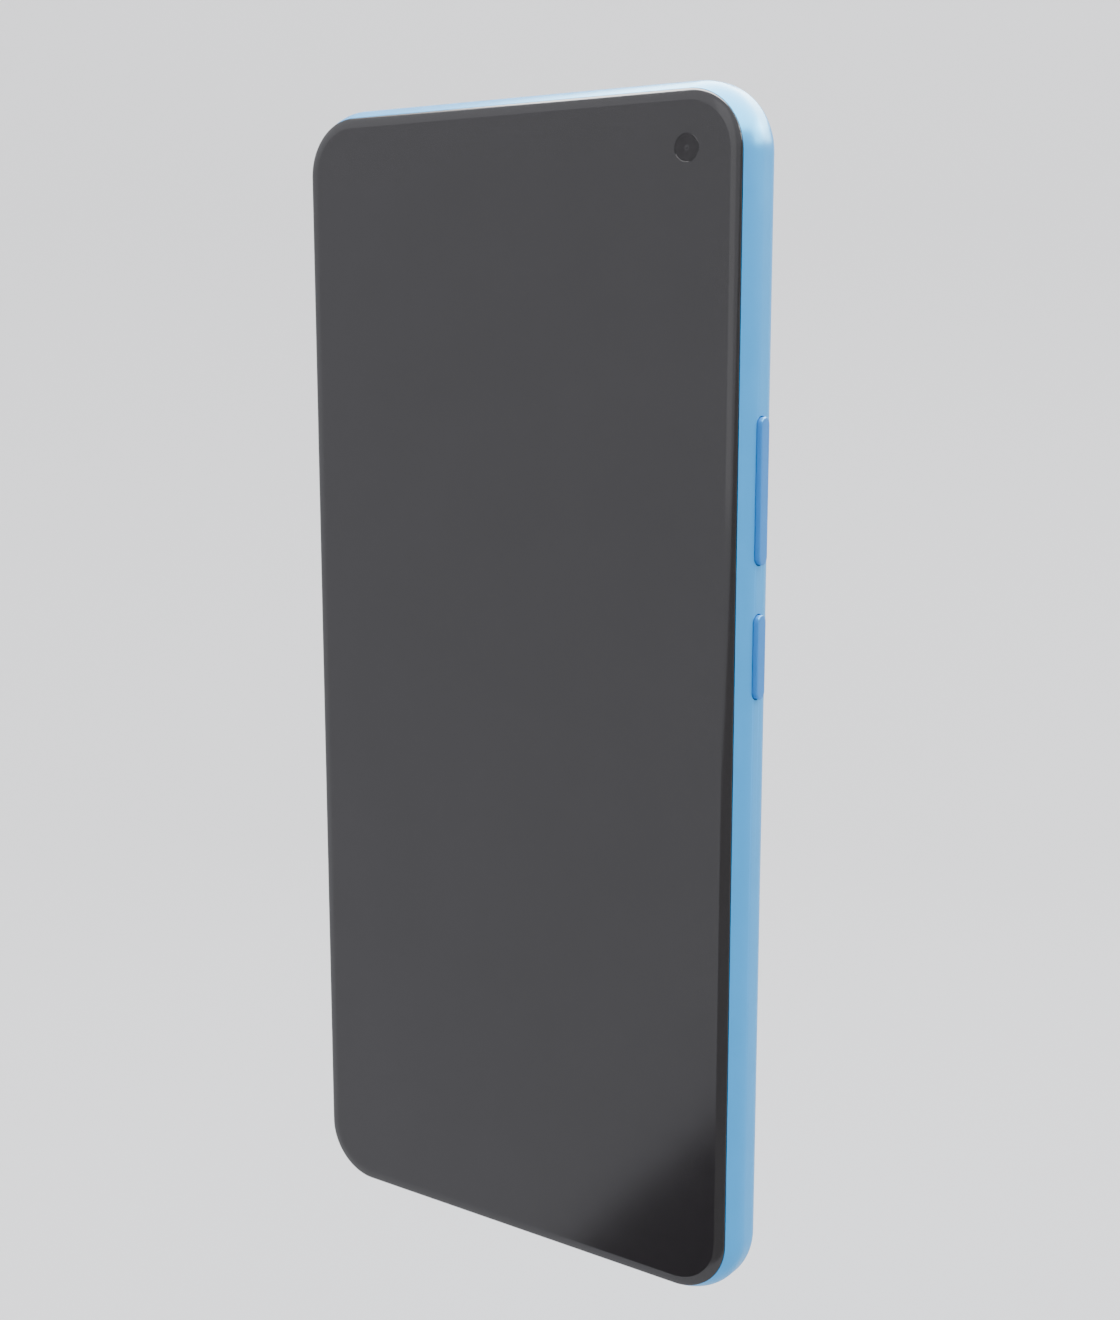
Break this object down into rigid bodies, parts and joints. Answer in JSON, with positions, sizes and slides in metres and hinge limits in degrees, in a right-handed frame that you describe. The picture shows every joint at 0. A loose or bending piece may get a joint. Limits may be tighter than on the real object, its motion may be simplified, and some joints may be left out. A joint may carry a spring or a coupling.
{
  "type": "smartphone",
  "caption": "Slab smartphone with a curved-edge glass front, one-piece rounded body, side keys, rear camera island and full internal layout.",
  "frame": {"origin": "centre of the flat face of the front glass", "axes": "+Z along the length towards the top edge, -Y out of the screen, +X towards the side with the keys"},
  "size_m": [0.0744, 0.0105, 0.1624],
  "materials": {
    "cover_glass": "glossy dark screen glass, fully printed behind",
    "display": "dark bonded display panel",
    "blue_shell": "light blue satin lacquer",
    "key_shell": "slightly deeper blue satin lacquer",
    "lens_glass": "coated dark lens glass",
    "lens_ring": "anodised, finely turned",
    "steel": "thin stamped sheet",
    "alloy": "die cast and machined",
    "board": "solder-masked laminate",
    "flex": "amber polyimide over copper",
    "pouch": "dark laminated foil",
    "black_plastic": "fine moulded texture",
    "seal_rubber": "soft black silicone",
    "fine_mesh": "woven acoustic mesh",
    "amber_optic": "moulded flash optic"
  },
  "bodies": {
    "phone_body": {"front_glass": "cover_glass", "display_panel": "display", "display_adhesive": "seal_rubber", "display_flex": "flex", "earpiece_mesh": "fine_mesh", "mid_frame": "alloy", "rear_housing": "blue_shell", "side_key_flex": "flex", "volume_up_switch": "steel", "volume_down_switch": "steel", "power_switch": "steel", "front_camera_module": "black_plastic", "front_camera_lens": "lens_glass", "camera_island_frame": "lens_ring", "camera_island_glass": "lens_glass", "main_lens_ring": "lens_ring", "main_lens_window": "lens_glass", "wide_lens_ring": "lens_ring", "wide_lens_window": "lens_glass", "main_camera_housing": "steel", "wide_camera_module": "black_plastic", "macro_camera_module": "black_plastic", "flash_led": "amber_optic", "flash_lens": "amber_optic", "main_board": "board", "soc_shield": "steel", "rf_shield": "steel", "earpiece_speaker": "black_plastic", "microphone_top": "steel", "upper_cover": "black_plastic", "nfc_antenna": "flex", "sim_reader": "steel", "battery_pack": "pouch", "battery_flex": "flex", "main_flex": "flex", "coax_cable": "black_plastic", "sub_board": "board", "lower_cover": "black_plastic", "microphone_bottom": "steel", "usb_c_shell": "steel", "usb_c_tongue": "black_plastic", "usb_gasket": "seal_rubber", "loudspeaker_box": "black_plastic", "speaker_mesh": "fine_mesh", "vibration_motor_can": "steel", "vibration_motor_base": "steel", "screw_1": "steel", "screw_2": "steel", "screw_3": "steel", "screw_4": "steel", "screw_5": "steel", "screw_6": "steel"},
    "volume_key": {"volume_rocker": "key_shell"},
    "power_key": {"power_button": "key_shell"},
    "sim_drawer": {"sim_tray": "key_shell", "sim_tray_seal": "seal_rubber"},
    "eject_rod": {"sim_eject_rod": "steel"},
    "eject_lever": {"sim_eject_lever": "steel"},
    "focus_barrel": {"main_camera_barrel": "black_plastic"},
    "motor_weight": {"vibration_motor_rotor": "alloy"}
  },
  "joints": [
    {"name": "volume_rocker_tilt", "type": "hinge", "parent": "phone_body", "child": "volume_key", "pos_m": [0.03506, 0.00425, 0.0302], "axis": [0, 1, 0], "range_deg": [-1.2, 1.2], "stiffness_Nm_per_rad": 0.05},
    {"name": "power_button_press", "type": "slide", "parent": "phone_body", "child": "power_key", "axis": [-1, 0, 0], "range_m": [0, 0.00025], "stiffness_N_per_m": 600},
    {"name": "sim_tray_slide", "type": "slide", "parent": "phone_body", "child": "sim_drawer", "axis": [-1, 0, 0], "range_m": [0, 0.024]},
    {"name": "sim_eject_press", "type": "slide", "parent": "phone_body", "child": "eject_rod", "axis": [1, 0, 0], "range_m": [0, 0.0012]},
    {"name": "sim_lever_turn", "type": "hinge", "parent": "phone_body", "child": "eject_lever", "pos_m": [-0.0121, 0.00505, 0.0503], "axis": [0, -1, 0], "range_deg": [0, 14]},
    {"name": "main_camera_focus", "type": "slide", "parent": "phone_body", "child": "focus_barrel", "axis": [0, 1, 0], "range_m": [0, 0.0003], "stiffness_N_per_m": 60},
    {"name": "vibration_motor_spin", "type": "hinge", "parent": "phone_body", "child": "motor_weight", "pos_m": [-0.0245, 0.00535, -0.069], "axis": [0, 1, 0], "continuous": true}
  ],
  "couplings": [
    {"joint": "sim_lever_turn", "follows": "sim_eject_press", "rad_per_m": 200}
  ]
}
